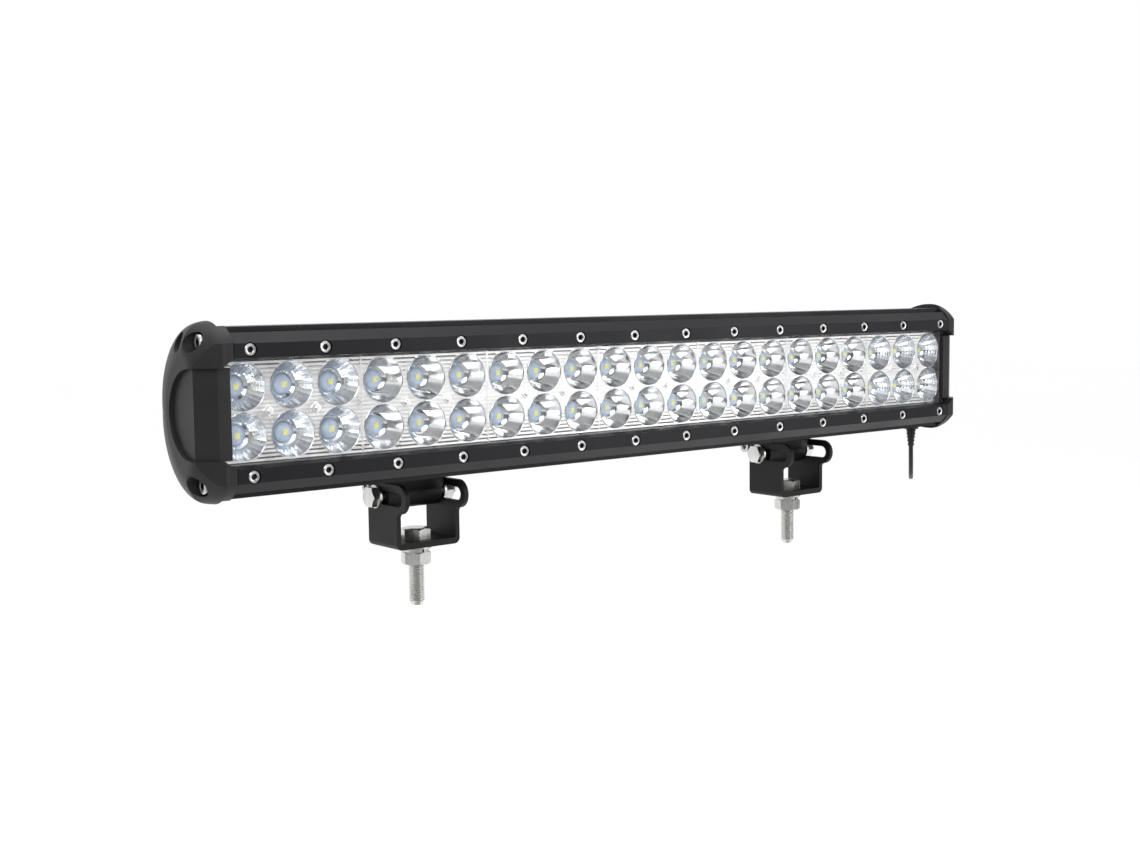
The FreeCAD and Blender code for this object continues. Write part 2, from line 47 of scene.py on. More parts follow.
# ---- the bar's own datum in the row frame: Y = 0 on the bezel face, Z = 0 at mid height ---------
BEZEL_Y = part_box("bezel_rail_top")[0].y
MID_Z = (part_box("housing")[0].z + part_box("housing")[1].z) / 2
MODULES = 7
MODULE_PITCH = 70 * MM
CUP_PITCH = MODULE_PITCH / 3
ROW_Z = 10.65 * MM
MOUTH_R = 10.3 * MM
THROAT_R = 4.5 * MM
FRONT_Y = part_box("reflector_4_spot")[0].y
THROAT_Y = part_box("reflector_4_spot")[1].y


# ---- mesh helpers ----------------------------------------------------------------------------
def new_object(name, mesh, body, material, smooth=False):
    obj = bpy.data.objects.new(name, mesh)
    bpy.context.scene.collection.objects.link(obj)
    if smooth:
        mesh.shade_smooth()
    if material:
        mesh.materials.append(material)
    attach(obj, body)
    return obj


def mesh_of(name, verts, faces):
    mesh = bpy.data.meshes.new(name)
    mesh.from_pydata([tuple(v) for v in verts], [], faces)
    mesh.update()
    return mesh


def from_bmesh(name, bm):
    bmesh.ops.recalc_face_normals(bm, faces=bm.faces)
    mesh = bpy.data.meshes.new(name)
    bm.to_mesh(mesh)
    bm.free()
    return mesh


def lathe(bm, profile, origin, axis, segments=48, close=True):
    """Revolve (radius, height) pairs about axis through origin, into bm."""
    axis = Vector(axis).normalized()
    side = axis.orthogonal().normalized()
    other = axis.cross(side)
    rings = []
    for r, h in profile:
        centre = Vector(origin) + axis * h
        if r < 1e-7:
            rings.append([bm.verts.new(centre)])
            continue
        ring = []
        for k in range(segments):
            a = 2 * math.pi * k / segments
            ring.append(bm.verts.new(centre + side * (r * math.cos(a)) + other * (r * math.sin(a))))
        rings.append(ring)
    for low, high in zip(rings, rings[1:]):
        for k in range(segments):
            j = (k + 1) % segments
            if len(low) == 1 and len(high) == 1:
                continue
            if len(low) == 1:
                bm.faces.new((low[0], high[k], high[j]))
            elif len(high) == 1:
                bm.faces.new((low[k], low[j], high[0]))
            else:
                bm.faces.new((low[k], low[j], high[j], high[k]))
    if close and len(rings[0]) > 1:
        bm.faces.new(rings[0])
    if close and len(rings[-1]) > 1:
        bm.faces.new(rings[-1])


def block(bm, low, high):
    """An axis-aligned box, into bm."""
    verts = [bm.verts.new((x, y, z)) for x in (low[0], high[0]) for y in (low[1], high[1])
             for z in (low[2], high[2])]
    for quad in ((0, 1, 3, 2), (4, 6, 7, 5), (0, 4, 5, 1), (2, 3, 7, 6), (0, 2, 6, 4), (1, 5, 7, 3)):
        bm.faces.new([verts[k] for k in quad])


def bevel(obj, width, segments=2, angle=30):
    mod = obj.modifiers.new("edges", "BEVEL")
    mod.width = width
    mod.segments = segments
    mod.limit_method = "ANGLE"
    mod.angle_limit = math.radians(angle)
    mod.harden_normals = False


# ---- materials -------------------------------------------------------------------------------
def material(name, colour, roughness, metallic=0.0, **sockets):
    mat = bpy.data.materials.new(name)
    mat.use_nodes = True
    shader = mat.node_tree.nodes["Principled BSDF"]
    shader.inputs["Base Color"].default_value = (*colour, 1)
    shader.inputs["Roughness"].default_value = roughness
    shader.inputs["Metallic"].default_value = metallic
    for key, value in sockets.items():
        shader.inputs[key.replace("_", " ")].default_value = value
    return mat


def noise(mat, scale, detail=3.0, stretch=(1, 1, 1)):
    """A noise texture in the object's own coordinates. Returns its factor socket."""
    tree = mat.node_tree
    coord = tree.nodes.new("ShaderNodeTexCoord")
    mapping = tree.nodes.new("ShaderNodeMapping")
    mapping.inputs["Scale"].default_value = stretch
    texture = tree.nodes.new("ShaderNodeTexNoise")
    texture.inputs["Scale"].default_value = scale
    texture.inputs["Detail"].default_value = detail
    tree.links.new(coord.outputs["Object"], mapping.inputs["Vector"])
    tree.links.new(mapping.outputs["Vector"], texture.inputs["Vector"])
    return texture.outputs["Fac"]


def bump(mat, factor, strength, distance):
    tree = mat.node_tree
    node = tree.nodes.new("ShaderNodeBump")
    node.inputs["Strength"].default_value = strength
    node.inputs["Distance"].default_value = distance
    tree.links.new(factor, node.inputs["Height"])
    tree.links.new(node.outputs["Normal"], tree.nodes["Principled BSDF"].inputs["Normal"])


def vary(mat, factor, socket, low, high, start=0.35, end=0.65):
    """Drive a shader socket between two values, or two colours, by a noise factor."""
    tree = mat.node_tree
    target = tree.nodes["Principled BSDF"].inputs[socket]
    if isinstance(low, tuple):
        ramp = tree.nodes.new("ShaderNodeValToRGB")
        ramp.color_ramp.elements[0].position = start
        ramp.color_ramp.elements[1].position = end
        ramp.color_ramp.elements[0].color = (*low, 1)
        ramp.color_ramp.elements[1].color = (*high, 1)
        tree.links.new(factor, ramp.inputs["Fac"])
        tree.links.new(ramp.outputs["Color"], target)
        return
    node = tree.nodes.new("ShaderNodeMapRange")
    node.inputs["From Min"].default_value = start
    node.inputs["From Max"].default_value = end
    node.inputs["To Min"].default_value = low
    node.inputs["To Max"].default_value = high
    tree.links.new(factor, node.inputs["Value"])
    tree.links.new(node.outputs["Result"], target)


def powder_coat(name, colour, roughness):
    mat = material(name, colour, roughness, Specular_IOR_Level=0.22)
    fine = noise(mat, 900, 2)
    bump(mat, fine, 0.12, 0.00012)
    broad = noise(mat, 26, 4)
    vary(mat, broad, "Roughness", roughness - 0.05, roughness + 0.06)
    darker = tuple(c * 0.86 for c in colour)
    lighter = tuple(c * 1.16 for c in colour)
    vary(mat, broad, "Base Color", darker, lighter)
    return mat


def metal(name, colour, roughness, stretch=(1, 1, 1), grain=500):
    mat = material(name, colour, roughness, 1.0)
    lines = noise(mat, grain, 3, stretch)
    vary(mat, lines, "Roughness", roughness - 0.06, roughness + 0.10)
    bump(mat, lines, 0.06, 0.00005)
    broad = noise(mat, 60, 2)
    vary(mat, broad, "Base Color", tuple(c * 0.9 for c in colour), colour)
    return mat


def plastic(name, colour, roughness, grain=700, strength=0.1):
    mat = material(name, colour, roughness)
    fine = noise(mat, grain, 3)
    bump(mat, fine, strength, 0.0001)
    vary(mat, noise(mat, 40, 2), "Roughness", roughness - 0.05, roughness + 0.05)
    lighter = tuple(min(1, c * 1.12) for c in colour)
    vary(mat, fine, "Base Color", tuple(c * 0.88 for c in colour), lighter)
    return mat


def clear_lens():
    mat = material("clear_polycarbonate", (0.93, 0.96, 1.0), 0.04, Alpha=0.03, IOR=1.45)
    vary(mat, noise(mat, 30, 2), "Roughness", 0.03, 0.07)
    return mat


M = {
    "coat": powder_coat("powder_coat_black", (0.012, 0.012, 0.0135), 0.42),
    "rail": powder_coat("rail_black", (0.008, 0.008, 0.0105), 0.40),
    "cap": powder_coat("cast_cap_black", (0.025, 0.025, 0.025), 0.46),
    "bracket": powder_coat("bracket_black", (0.010, 0.010, 0.0105), 0.48),
    "steel": metal("stainless_fastener", (0.60, 0.60, 0.59), 0.30),
    # The socket material is painted shade: a dark metal for the inside of the screw sockets, where shade
    # falls.
    "socket": metal("socket_painted_shade", (0.07, 0.07, 0.07), 0.5),
    "zinc": metal("zinc_plated", (0.70, 0.70, 0.68), 0.28, (1, 1, 0.15), 420),
    "mirror": metal("metallised_reflector", (0.90, 0.91, 0.92), 0.13, grain=90),
    "facet": metal("metallised_facets", (0.88, 0.90, 0.93), 0.17, grain=120),
    "land": metal("metallised_land", (0.93, 0.93, 0.92), 0.33, grain=200),
    "lens": clear_lens(),
    "rubber": plastic("black_rubber", (0.012, 0.012, 0.013), 0.62, 500, 0.2),
    "cord": plastic("cord_pvc", (0.010, 0.010, 0.011), 0.42, 350, 0.15),
    "nylon": plastic("black_nylon", (0.016, 0.016, 0.017), 0.45),
    "board": plastic("white_solder_mask", (0.78, 0.80, 0.78), 0.35),
    "green": plastic("driver_solder_mask", (0.01, 0.10, 0.03), 0.35),
    "ceramic": plastic("white_ceramic", (0.82, 0.82, 0.80), 0.4),
    "pad": plastic("gap_pad", (0.25, 0.29, 0.33), 0.8),
    "can": metal("capacitor_can", (0.6, 0.6, 0.6), 0.3),
    "ferrite": plastic("ferrite", (0.03, 0.03, 0.032), 0.5),
    "brass": metal("brass", (0.72, 0.55, 0.24), 0.28),
    "phosphor": plastic("yellow_phosphor", (0.90, 0.86, 0.30), 0.45, 900, 0.05),
    "silicone": plastic("diode_silicone", (0.50, 0.61, 0.76), 0.14, 300, 0.02),
}


def dress(material_key, *names):
    """Give CAD nodes that stay a finished material."""
    for name in names:
        obj = NODES[name]
        obj.data.materials.clear()
        obj.data.materials.append(M[material_key])


SIDES = ("left", "right")
dress("coat", "housing")
dress("rail", "bezel_rail_top", "bezel_rail_bottom")
dress("cap", "end_cap_left", "end_cap_right")
dress("bracket", *[f"{part}_{side}" for part in ("bracket", "foot") for side in SIDES])
dress("steel", "bezel_screws_top", "bezel_screws_bottom",
      *[f"{part}_{side}" for part in ("end_cap_screws", "foot_lock_screw") for side in SIDES])
dress("zinc", "pivot_bolt_left", "pivot_bolt_right", "pivot_washers", "pivot_nuts", "mounting_bolts",
      "flat_washers", "spring_washers", "mounting_nuts")
dress("lens", "lens")
dress("rubber", "lens_gasket", "end_gasket_left", "end_gasket_right", "strain_relief")
dress("board", *[f"led_board_{n}" for n in range(1, MODULES + 1)])
dress("ceramic", "led_packages")
dress("pad", "thermal_pad")
dress("green", "driver_board")
dress("brass", "driver_standoffs", "plug_pins")
dress("can", "driver_capacitors")
dress("ferrite", "driver_inductors", "driver_chips")
dress("nylon", "cable_gland", "plug_body", "cord_tie")


# ---- camera, floor and light -----------------------------------------------------------------
def camera():
    """A 47 mm lens to the left of the bar and a little above it, facing right along it."""
    yaw, pitch, roll = math.radians(39.04), math.radians(-5.20), math.radians(-0.690)
    forward = Vector((math.sin(yaw) * math.cos(pitch), math.cos(yaw) * math.cos(pitch), math.sin(pitch)))
    level = Vector((math.cos(yaw), -math.sin(yaw), 0))
    right = level * math.cos(roll) + level.cross(forward) * math.sin(roll)
    up = right.cross(forward)
    data = bpy.data.cameras.new("camera")
    data.sensor_width = 36
    data.lens = 47.13
    data.clip_start = 0.01
    obj = bpy.data.objects.new("camera", data)
    bpy.context.scene.collection.objects.link(obj)
    turn = Matrix((right, up, -forward)).transposed()
    eye = Vector((-0.52556, BEZEL_Y - 0.57205, MID_Z + 0.04963))
    obj.matrix_world = Matrix.Translation(eye) @ turn.to_4x4()
    bpy.context.scene.camera = obj


FLOOR_Z, FLOOR_HALF = -0.42, 9


def surround():
    """An even white surround, with a plain white floor below the studs."""
    corners = [(FLOOR_HALF * x, FLOOR_HALF * y, FLOOR_Z) for x, y in ((-1, -1), (1, -1), (1, 1), (-1, 1))]
    mesh = mesh_of("floor", corners, [(0, 1, 2, 3)])
    floor = bpy.data.objects.new("floor", mesh)
    bpy.context.scene.collection.objects.link(floor)
    mesh.materials.append(material("floor_white", (1.0, 1.0, 1.0), 0.9))
    world = bpy.data.worlds.new("surround")
    bpy.context.scene.world = world
    world.use_nodes = True
    sky = world.node_tree.nodes["Background"]
    sky.inputs["Color"].default_value = (1, 1, 1, 1)
    sky.inputs["Strength"].default_value = 1.0


def soft_light(name, place, aim, width, height, power):
    data = bpy.data.lights.new(name, "AREA")
    data.shape = "RECTANGLE"
    data.size = width
    data.size_y = height
    data.energy = power
    obj = bpy.data.objects.new(name, data)
    bpy.context.scene.collection.objects.link(obj)
    obj.location = place
    obj.rotation_euler = (Vector(aim) - Vector(place)).to_track_quat("-Z", "Y").to_euler()


def flag(name, corners, grey):
    """A large grey card outside the frame, for the bright metal and the coat to reflect."""
    mesh = mesh_of(name, corners, [(0, 1, 2, 3)])
    card = bpy.data.objects.new(name, mesh)
    bpy.context.scene.collection.objects.link(card)
    mat = material(name + "_cloth", (grey, grey, grey), 0.9)
    vary(mat, noise(mat, 5, 2), "Roughness", 0.85, 0.95)
    mesh.materials.append(mat)


camera()
surround()
bar_middle = (0, 0, MID_Z)
flag("front_flag", [(-3.4, -2.6, -0.4), (3.6, -2.6, -0.4), (3.6, -2.6, 2.4), (-3.4, -2.6, 2.4)], 0.16)
flag("right_flag", [(2.2, -2.5, -0.4), (2.9, 0.2, -0.4), (2.9, 0.2, 1.6), (2.2, -2.5, 1.6)], 0.10)
flag("left_flag", [(-2.6, -2.4, -0.4), (-2.8, 0.1, -0.4), (-2.8, 0.1, 1.6), (-2.6, -2.4, 1.6)], 0.05)
flag("low_flag", [(-0.9, -1.3, -0.3), (0.2, -1.3, -0.3), (0.2, -0.2, -0.3), (-0.9, -0.2, -0.3)], 0.3)
soft_light("key", (-0.7, -1.9, 1.1), bar_middle, 1.6, 0.9, 22)
soft_light("fill", (1.6, -1.9, 0.5), bar_middle, 0.7, 1.3, 15)
soft_light("top", (0, 0.2, 1.6), bar_middle, 1.8, 0.5, 13)
bpy.context.scene.view_settings.view_transform = "Standard"


# ---- power lead ------------------------------------------------------------------------------
# The same route as the CAD tube, in the bar's datum, mm; then the turns of the coil by a loop.
CORD_D = 2.8
COIL_R = 25.3
COIL_X, COIL_Y, COIL_Z = 192.0, 57.2, 0.0
PLUG_X = COIL_X + 26
CORD_ROUTE = [
    (237.0, 24.5, -50.6),
    (237.4, 24.6, -63.6),
    (244.8, 30.4, -73.0),
    (264.5, 45.8, -73.0),
    (271.9, 51.6, -63.6),
    (274.0, 53.5, -47.0),
    (270.5, 56.5, -29.5),
    (259.5, 60.4, -18.0),
    (244.0, 61.6, -14.5),
    (227.0, 60.6, -17.5),
    (210.0, 59.0, -22.8),
]
COIL_TURNS = 1.5
POINTS_PER_TURN = 16


def at(x, y, z):
    """A point in the bar's datum, mm, as a point in the row frame, m."""
    return Vector((x * MM, BEZEL_Y + y * MM, MID_Z + z * MM))


def coil_points():
    """Clockwise from the lowest point, one lead's width further back each turn."""
    count = int(COIL_TURNS * POINTS_PER_TURN)
    points = []
    for k in range(count + 1):
        turn = k / POINTS_PER_TURN
        a = -math.pi / 2 - 2 * math.pi * turn
        swell = COIL_R * (1 + 0.012 * math.sin(5 * a))
        back = (CORD_D + 0.1) * min(1.0, max(0.0, (turn - 0.35) / 0.6))
        points.append((COIL_X + swell * math.cos(a), COIL_Y + back, COIL_Z + swell * math.sin(a)))
    return points


def power_lead():
    points = CORD_ROUTE + coil_points()
    last_y = COIL_Y + CORD_D
    points += [(COIL_X + 10, last_y, COIL_Z + COIL_R), (PLUG_X, last_y, COIL_Z + COIL_R)]
    data = bpy.data.curves.new("power_lead", "CURVE")
    data.dimensions = "3D"
    spline = data.splines.new("NURBS")
    spline.points.add(len(points) - 1)
    for point, place in zip(spline.points, points):
        point.co = (*at(*place), 1)
    spline.order_u = 3
    spline.use_endpoint_u = True
    spline.resolution_u = 8
    data.bevel_depth = CORD_D / 2 * MM
    data.bevel_resolution = 6
    data.use_fill_caps = True
    data.materials.append(M["cord"])
    obj = bpy.data.objects.new("power_lead", data)
    bpy.context.scene.collection.objects.link(obj)
    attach(obj, "light")
    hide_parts("power_cord", "power_cord_coil", "power_cord_tail")
    return obj


lead = power_lead()


# ---- reflectors ------------------------------------------------------------------------------
RIB_PITCH = 1.8 * MM
RIM = 0.35 * MM


def module_centre(number):
    return MODULE_PITCH * (number - (MODULES + 1) / 2)


def cup_centres(number):
    cx = module_centre(number)
    return [(cx + CUP_PITCH * col, MID_Z + ROW_Z * row) for row in (1, -1) for col in (-1, 0, 1)]


def land(bm, number):
    """The flat front of a module: each cup's mouth joined outwards to its own cell."""
    cx = module_centre(number)
    half_x = MODULE_PITCH / 2 - 0.1 * MM
    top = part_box("reflector_4_spot")[1].z - MID_Z
    segments = 64
    for x, z in cup_centres(number):
        side = 1 if z > MID_Z else -1
        x0, x1 = x - CUP_PITCH / 2, x + CUP_PITCH / 2
        x0, x1 = max(x0, cx - half_x), min(x1, cx + half_x)
        z0, z1 = sorted((MID_Z, MID_Z + side * top))
        inner, outer = [], []
        for k in range(segments):
            a = 2 * math.pi * (k + 0.5) / segments
            dx, dz = math.cos(a), math.sin(a)
            reach_x = (x1 - x if dx > 0 else x - x0) / max(abs(dx), 1e-9)
            reach_z = (z1 - z if dz > 0 else z - z0) / max(abs(dz), 1e-9)
            far = min(reach_x, reach_z)
            near = min(MOUTH_R + RIM, far - 0.02 * MM)
            inner.append(bm.verts.new((x + near * dx, FRONT_Y + 0.3 * MM, z + near * dz)))
            outer.append(bm.verts.new((x + far * dx, FRONT_Y + 0.3 * MM, z + far * dz)))
        for k in range(segments):
            j = (k + 1) % segments
            bm.faces.new((inner[k], inner[j], outer[j], outer[k]))


def ribs(bm, number):
    """Fine horizontal ribs on the land, broken where they meet a cup."""
    cx = module_centre(number)
    half_x = MODULE_PITCH / 2 - 0.3 * MM
    clear = MOUTH_R + RIM + 0.15 * MM
    count = int(22.5 * MM / RIB_PITCH)
    for k in range(-count, count + 1):
        z = MID_Z + k * RIB_PITCH
        blocks = [(x - math.sqrt(clear ** 2 - (z - cz) ** 2), x + math.sqrt(clear ** 2 - (z - cz) ** 2))
                  for x, cz in cup_centres(number) if abs(z - cz) < clear]
        if abs(z - MID_Z) < 2.6 * MM:
            reach = 2.9 * MM - abs(z - MID_Z)
            blocks += [(cx + s * CUP_PITCH / 2 - reach, cx + s * CUP_PITCH / 2 + reach) for s in (-1, 1)]
        start = cx - half_x
        for low, high in sorted(blocks) + [(cx + half_x, cx + half_x)]:
            if low - start > 0.4 * MM:
                rib(bm, start, low, z)
            start = max(start, high)


def rib(bm, x0, x1, z):
    half, rise = RIB_PITCH * 0.42, 0.28 * MM
    base = FRONT_Y + 0.3 * MM
    ends = [[bm.verts.new((x, base, z - half)), bm.verts.new((x, base - rise, z)),
             bm.verts.new((x, base, z + half))] for x in (x0, x1)]
    for a, b in ((0, 1), (1, 2)):
        bm.faces.new((ends[0][a], ends[0][b], ends[1][b], ends[1][a]))
    bm.faces.new(ends[0])
    bm.faces.new(ends[1])


def spot_cup(bm, x, z):
    """A smooth deep bowl with a small rolled rim."""
    depth = THROAT_Y - FRONT_Y
    steps = 18
    profile = [(MOUTH_R + RIM, -0.3 * MM), (MOUTH_R + RIM * 0.6, 0.12 * MM), (MOUTH_R, 0.02 * MM)]
    for k in range(1, steps + 1):
        t = k / steps
        profile.append((THROAT_R + (MOUTH_R - THROAT_R) * math.sqrt(1 - t), -depth * t))
    lathe(bm, profile, (x, FRONT_Y, z), (0, -1, 0), 72, close=False)


def flood_cup(bm, x, z):
    """A bowl of flat facets: radial rows crossed by rings, each ring with a small step."""
    depth = THROAT_Y - FRONT_Y
    facets, ring_count = 26, 7
    lip = [(MOUTH_R + RIM, 0.3 * MM), (MOUTH_R + RIM * 0.5, -0.12 * MM)]

    def ring(r, y):
        return [bm.verts.new((x + r * math.cos(2 * math.pi * n / facets), FRONT_Y + y,
                              z + r * math.sin(2 * math.pi * n / facets))) for n in range(facets)]

    rows = [ring(r, y) for r, y in lip]
    for k in range(ring_count + 1):
        t = k / ring_count
        r = THROAT_R + (MOUTH_R - THROAT_R) * (1 - t) ** 0.62
        rows.append(ring(r, depth * t))
        if k < ring_count:
            rows.append(ring(r - 0.16 * MM, depth * t + 0.30 * MM))
    for near, far in zip(rows, rows[1:]):
        for n in range(facets):
            m = (n + 1) % facets
            bm.faces.new((near[n], near[m], far[m], far[n]))


def post(bm, x, z):
    """A square pyramid post, corner up, on a low square base."""
    base_y = FRONT_Y + 0.3 * MM
    levels = [(2.7, 0.0), (2.6, 0.55), (1.7, 0.6), (1.35, 1.1), (0.55, 1.35)]
    rings = []
    for r, h in levels:
        rings.append([bm.verts.new((x + r * MM * math.cos(a), base_y - h * MM, z + r * MM * math.sin(a)))
                      for a in (0, math.pi / 2, math.pi, 3 * math.pi / 2)])
    for low, high in zip(rings, rings[1:]):
        for k in range(4):
            j = (k + 1) % 4
            bm.faces.new((low[k], low[j], high[j], high[k]))
    bm.faces.new(rings[-1])


def reflector(number):
    kind = "flood" if number in (1, MODULES) else "spot"
    node = f"reflector_{number}_{kind}"
    bm = bmesh.new()
    land(bm, number)
    ribs(bm, number)
    for s in (-1, 1):
        post(bm, module_centre(number) + s * CUP_PITCH / 2, MID_Z)
    low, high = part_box(node)
    for x0, x1 in ((low.x, low.x + 0.35 * MM), (high.x - 0.35 * MM, high.x)):
        block(bm, (x0, FRONT_Y, low.z), (x1, THROAT_Y, high.z))
    face = new_object(node + "_face", from_bmesh(node + "_face", bm), "light", M["land"])
    bm = bmesh.new()
    for x, z in cup_centres(number):
        if kind == "flood":
            flood_cup(bm, x, z)
        else:
            spot_cup(bm, x, z)
    cups = new_object(node + "_cups", from_bmesh(node + "_cups", bm), "light",
                      M["facet" if kind == "flood" else "mirror"], smooth=kind == "spot")
    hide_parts(node)
    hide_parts(node)


for module in range(1, MODULES + 1):
    reflector(module)


# ---- diodes ----------------------------------------------------------------------------------
def diodes():
    """Each diode: a shallow pale blue dome over its package, with the yellow phosphor at its centre."""
    domes, chips = bmesh.new(), bmesh.new()
    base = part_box("led_packages")[0].y
    for number in range(1, MODULES + 1):
        for x, z in cup_centres(number):
            profile = [(4.25 * MM, -0.9 * MM), (4.25 * MM, 0.1 * MM)]
            for k in range(9):
                a = math.radians(90 * k / 8)
                profile.append((3.9 * MM * math.cos(a), 0.15 * MM + 1.3 * MM * math.sin(a)))
            lathe(domes, profile, (x, base, z), (0, -1, 0), 40)
            y = base - 1.62 * MM
            block(chips, (x - 1.25 * MM, y, z - 1.25 * MM), (x + 1.25 * MM, y + 0.6 * MM, z + 1.25 * MM))
    dome = new_object("diode_domes", from_bmesh("diode_domes", domes), "light", M["silicone"], True)
    chip = new_object("diode_phosphors", from_bmesh("diode_phosphors", chips), "light", M["phosphor"])
    bevel(chip, 0.2 * MM)
    for piece in (dome, chip):
        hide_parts("led_domes")


diodes()


# ---- screws, bolts and nuts ------------------------------------------------------------------
def frame_of(axis):
    """Two directions across axis, so that a hexagon made with them has its flats along the second."""
    axis = Vector(axis)
    side = Vector((1, 0, 0)) if abs(axis.x) < 0.5 else Vector((0, 1, 0))
    return axis, side, axis.cross(side)


def hex_ring(across_flats, turn=0.0, per_side=6):
    """Points round a hexagon as (u, v, distance from its centre)."""
    corner = across_flats / math.sqrt(3)
    angles = [math.radians(60 * k) + turn for k in range(7)]
    corners = [(corner * math.cos(a), corner * math.sin(a)) for a in angles]
    points = []
    for (u0, v0), (u1, v1) in zip(corners, corners[1:]):
        for k in range(per_side):
            t = k / per_side
            u, v = u0 + (u1 - u0) * t, v0 + (v1 - v0) * t
            points.append((u, v, math.hypot(u, v)))
    return points


def bridge(bm, low, high):
    for k in range(len(low)):
        j = (k + 1) % len(low)
        bm.faces.new((low[k], low[j], high[j], high[k]))


def hex_solid(bm, across_flats, start, axis, height, turn=0.0, chamfers=(False, True), bore=0.0):
    """A hexagonal head or nut with its ends turned to a cone, and a bore if it is a nut."""
    axis, side, other = frame_of(axis)
    flat_r = across_flats / 2 * 0.97
    outline = hex_ring(across_flats, turn)

    def ring(points, heights):
        return [bm.verts.new(Vector(start) + side * u + other * v + axis * h)
                for (u, v, _), h in zip(points, heights)]

    drops = [max(0.0, (r - flat_r) * 0.6) for _, _, r in outline]
    inner = [(u / r * flat_r, v / r * flat_r, flat_r) for u, v, r in outline]
    low = ring(outline, [d if chamfers[0] else 0 for d in drops])
    high = ring(outline, [height - d if chamfers[1] else height for d in drops])
    low_inner = ring(inner, [0] * len(inner))
    high_inner = ring(inner, [height] * len(inner))
    bridge(bm, low, high)
    bridge(bm, low_inner, low)
    bridge(bm, high, high_inner)
    if bore:
        lip = [(u / r * (bore + 0.45 * MM), v / r * (bore + 0.45 * MM), 0) for u, v, r in outline]
        wall = [(u / r * bore, v / r * bore, 0) for u, v, r in outline]
        for face, h, step in ((low_inner, 0, 1), (high_inner, height, -1)):
            edge = ring(lip, [h] * len(lip))
            inside = ring(wall, [h + step * 0.4 * MM] * len(wall))
            deep = ring(wall, [height / 2] * len(wall))
            bridge(bm, face, edge)
            bridge(bm, edge, inside)
            bridge(bm, inside, deep)
    else:
        bm.faces.new(low_inner)
        bm.faces.new(high_inner)


def threaded_rod(bm, start, axis, length, outer, pitch, segments=28):
    """A helical thread from start along axis, closed by a chamfered end."""
    axis, side, other = frame_of(axis)
    root = outer - 0.60 * pitch
    cycle = [outer, outer, root, root]
    rise = [0.0, 0.14, 0.5, 0.64]
    turns = int(length / pitch) - 1
    rings = []
    for n in range(4 * turns):
        height = pitch * (n // 4 + rise[n % 4])
        ring = []
        for k in range(segments):
            a = 2 * math.pi * k / segments
            h = height + pitch * k / segments
            r = cycle[n % 4]
            if h > length - 1.6 * pitch:
                r = min(r, outer - (h - (length - 1.6 * pitch)) * 0.6)
            ring.append(bm.verts.new(Vector(start) + side * (r * math.cos(a)) + other * (r * math.sin(a))
                                     + axis * h))
        rings.append(ring)
    for n, low in enumerate(rings[:-1]):
        high = rings[n + 1]
        for k in range(segments - 1):
            bm.faces.new((low[k], low[k + 1], high[k + 1], high[k]))
        if n + 5 < len(rings):
            bm.faces.new((low[-1], rings[n + 4][0], rings[n + 5][0], high[-1]))
    end = outer - 0.9 * pitch
    lathe(bm, [(root, 0), (root, length - 1.4 * pitch), (end, length)], start, axis, segments)


# Index of the socket faces that take the dark material, which is painted shade inside the socket.
SOCKET_SHADE_INDEX = 1


def socket_head(bm, under, axis, radius, height, key):
    """A cap screw's head: rounded rim, hexagonal socket with painted shade inside. axis points out of the
    head.
    """
    axis, side, other = frame_of(axis)
    outline = hex_ring(key, 0.0, 4)

    def ring(points, h):
        return [bm.verts.new(Vector(under) + side * u + other * v + axis * h) for u, v, *_ in points]

    def circle(r):
        return [(u / d * r, v / d * r) for u, v, d in outline]

    levels = [(circle(radius), 0), (circle(radius), height - 0.45 * MM),
              (circle(radius * 0.96), height - 0.18 * MM), (circle(radius * 0.86), height),
              (circle(key * 0.66), height), (outline, height - 0.15 * MM), (outline, height * 0.3)]
    rings = [ring(points, h) for points, h in levels]
    for low, high in zip(rings[:-1], rings[1:-1]):
        bridge(bm, low, high)
    bm.faces.new(rings[0])
    outside = len(bm.faces)
    bridge(bm, rings[-2], rings[-1])
    bm.faces.new(rings[-1])
    bm.faces.ensure_lookup_table()
    for face in bm.faces[outside:]:
        face.material_index = SOCKET_SHADE_INDEX


def finish_fasteners(name, bm, body, key, *nodes):
    obj = new_object(name, from_bmesh(name, bm), body, M[key])
    if any(polygon.material_index for polygon in obj.data.polygons):
        # The socket faces get the dark material: painted shade inside the socket.
        obj.data.materials.append(M["socket"])
    obj.data.shade_smooth()
    flat = obj.modifiers.new("creases", "EDGE_SPLIT")
    flat.split_angle = math.radians(32)
    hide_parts(*nodes)


SCREW_PITCH = 36.0
SCREWS_PER_RAIL = 14


def bezel_screws(place, side):
    bm = bmesh.new()
    for k in range(SCREWS_PER_RAIL):
        x = SCREW_PITCH * (k - (SCREWS_PER_RAIL - 1) / 2)
        socket_head(bm, at(x, 2.6, side * 27.0), (0, -1, 0), 2.7 * MM, 2.5 * MM, 2.5 * MM)
        lathe(bm, [(1.5 * MM, 0), (1.5 * MM, 14 * MM)], at(x, 2.6, side * 27.0), (0, 1, 0), 16)
    finish_fasteners(f"bezel_screw_row_{place}", bm, "light", "steel", f"bezel_screws_{place}")


CAP_SCREW_SEATS = ((11.5, 30.4, 249.2), (22.5, 30.4, 249.2), (11.5, -30.4, 249.2))  # y, z, x of the seat


def cap_screws(side):
    sign = -1 if side == "left" else 1
    bm = bmesh.new()
    for y, z, seat in CAP_SCREW_SEATS:
        under = at(sign * seat, y, z)
        socket_head(bm, under, (sign, 0, 0), 3.5 * MM, 3.6 * MM, 3.0 * MM)
        lathe(bm, [(2.0 * MM, 0), (2.0 * MM, 16 * MM)], under, (-sign, 0, 0), 16)
    finish_fasteners(f"cap_screw_set_{side}", bm, "light", "steel", f"end_cap_screws_{side}")


BRACKET_X, STUD_Y, PIVOT = 132.0, 33.5, (39.4, -47.2)
SEAT_Z = -71.8 + 2.4 + 0.6
NUT_FACE = -81.3


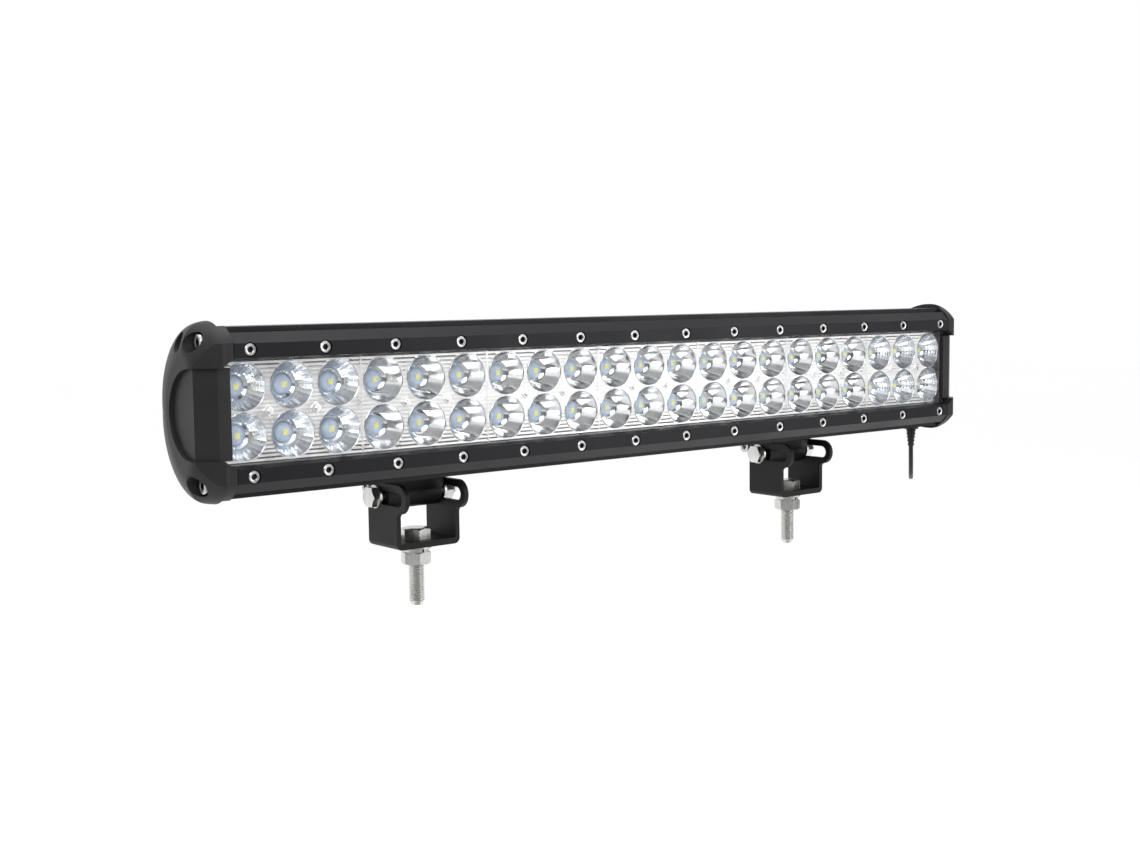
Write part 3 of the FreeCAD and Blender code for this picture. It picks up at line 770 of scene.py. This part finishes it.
def mounting_hardware():
    bolts, nuts = bmesh.new(), bmesh.new()
    for cx in (-BRACKET_X, BRACKET_X):
        hex_solid(bolts, 13 * MM, at(cx, STUD_Y, SEAT_Z), (0, 0, 1), 5.3 * MM, math.radians(12))
        lathe(bolts, [(3.6 * MM, 0), (3.6 * MM, (SEAT_Z - NUT_FACE) * MM)], at(cx, STUD_Y, NUT_FACE),
              (0, 0, 1), 28)
        threaded_rod(bolts, at(cx, STUD_Y, NUT_FACE), (0, 0, -1), 20 * MM, 4.0 * MM, 1.25 * MM)
        hex_solid(nuts, 13 * MM, at(cx, STUD_Y, NUT_FACE), (0, 0, 1), 6.3 * MM, math.radians(12),
                  (True, True), 3.62 * MM)
    finish_fasteners("mounting_bolt_pair", bolts, "brackets", "zinc", "mounting_bolts")
    finish_fasteners("mounting_nut_pair", nuts, "brackets", "zinc", "mounting_nuts")


def pivot_hardware():
    nuts = bmesh.new()
    seat = 18.0 + 1.2 + 0.1
    for side, cx in (("left", -BRACKET_X), ("right", BRACKET_X)):
        bolt = bmesh.new()
        hex_solid(bolt, 9.4 * MM, at(cx - seat, *PIVOT), (-1, 0, 0), 3.5 * MM)
        lathe(bolt, [(3.0 * MM, 0), (3.0 * MM, 38.8 * MM)], at(cx - seat, *PIVOT), (1, 0, 0), 28)
        threaded_rod(bolt, at(cx + seat, *PIVOT), (1, 0, 0), 8.4 * MM, 3.0 * MM, 1.0 * MM)
        finish_fasteners(f"pivot_bolt_{side}_turned", bolt, "pivots", "zinc", f"pivot_bolt_{side}")
        hex_solid(nuts, 9.4 * MM, at(cx + seat, *PIVOT), (1, 0, 0), 5.0 * MM, 0.0, (True, True), 3.02 * MM)
    finish_fasteners("pivot_nut_pair", nuts, "pivots", "zinc", "pivot_nuts")


RELIEF_R, RELIEF_COLLAR, RELIEF_RING, RELIEF_TAPER = 2.9, 1.6, 2.2, 0.12
GLAND_FACE = (237.0, 24.5, -39.6)


def relief():
    """Tapered, ringed sleeve where the lead leaves the gland."""
    bm = bmesh.new()
    profile = [(RELIEF_R, 0), (RELIEF_R, RELIEF_COLLAR)]
    for k in range(4):
        h = RELIEF_COLLAR + RELIEF_RING * k
        r = RELIEF_R - (h - RELIEF_COLLAR) * RELIEF_TAPER
        profile += [(r - 0.4, h + 0.1), (r - 0.45, h + 0.8), (r - 0.1, h + 0.9), (r - 0.2, h + 2.1)]
    profile += [(1.75, 10.7), (1.55, 11.0)]
    lathe(bm, [(r * MM, h * MM) for r, h in profile], at(*GLAND_FACE), (0, 0, -1), 40)
    mesh = from_bmesh("ringed_strain_relief", bm)
    obj = new_object("ringed_strain_relief", mesh, "light", M["rubber"], True)
    creases = obj.modifiers.new("creases", "EDGE_SPLIT")
    creases.split_angle = math.radians(40)
    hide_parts("strain_relief")
    return obj


bezel_screws("top", 1)
bezel_screws("bottom", -1)
for cap_side in SIDES:
    cap_screws(cap_side)
mounting_hardware()
pivot_hardware()
sleeve = relief()
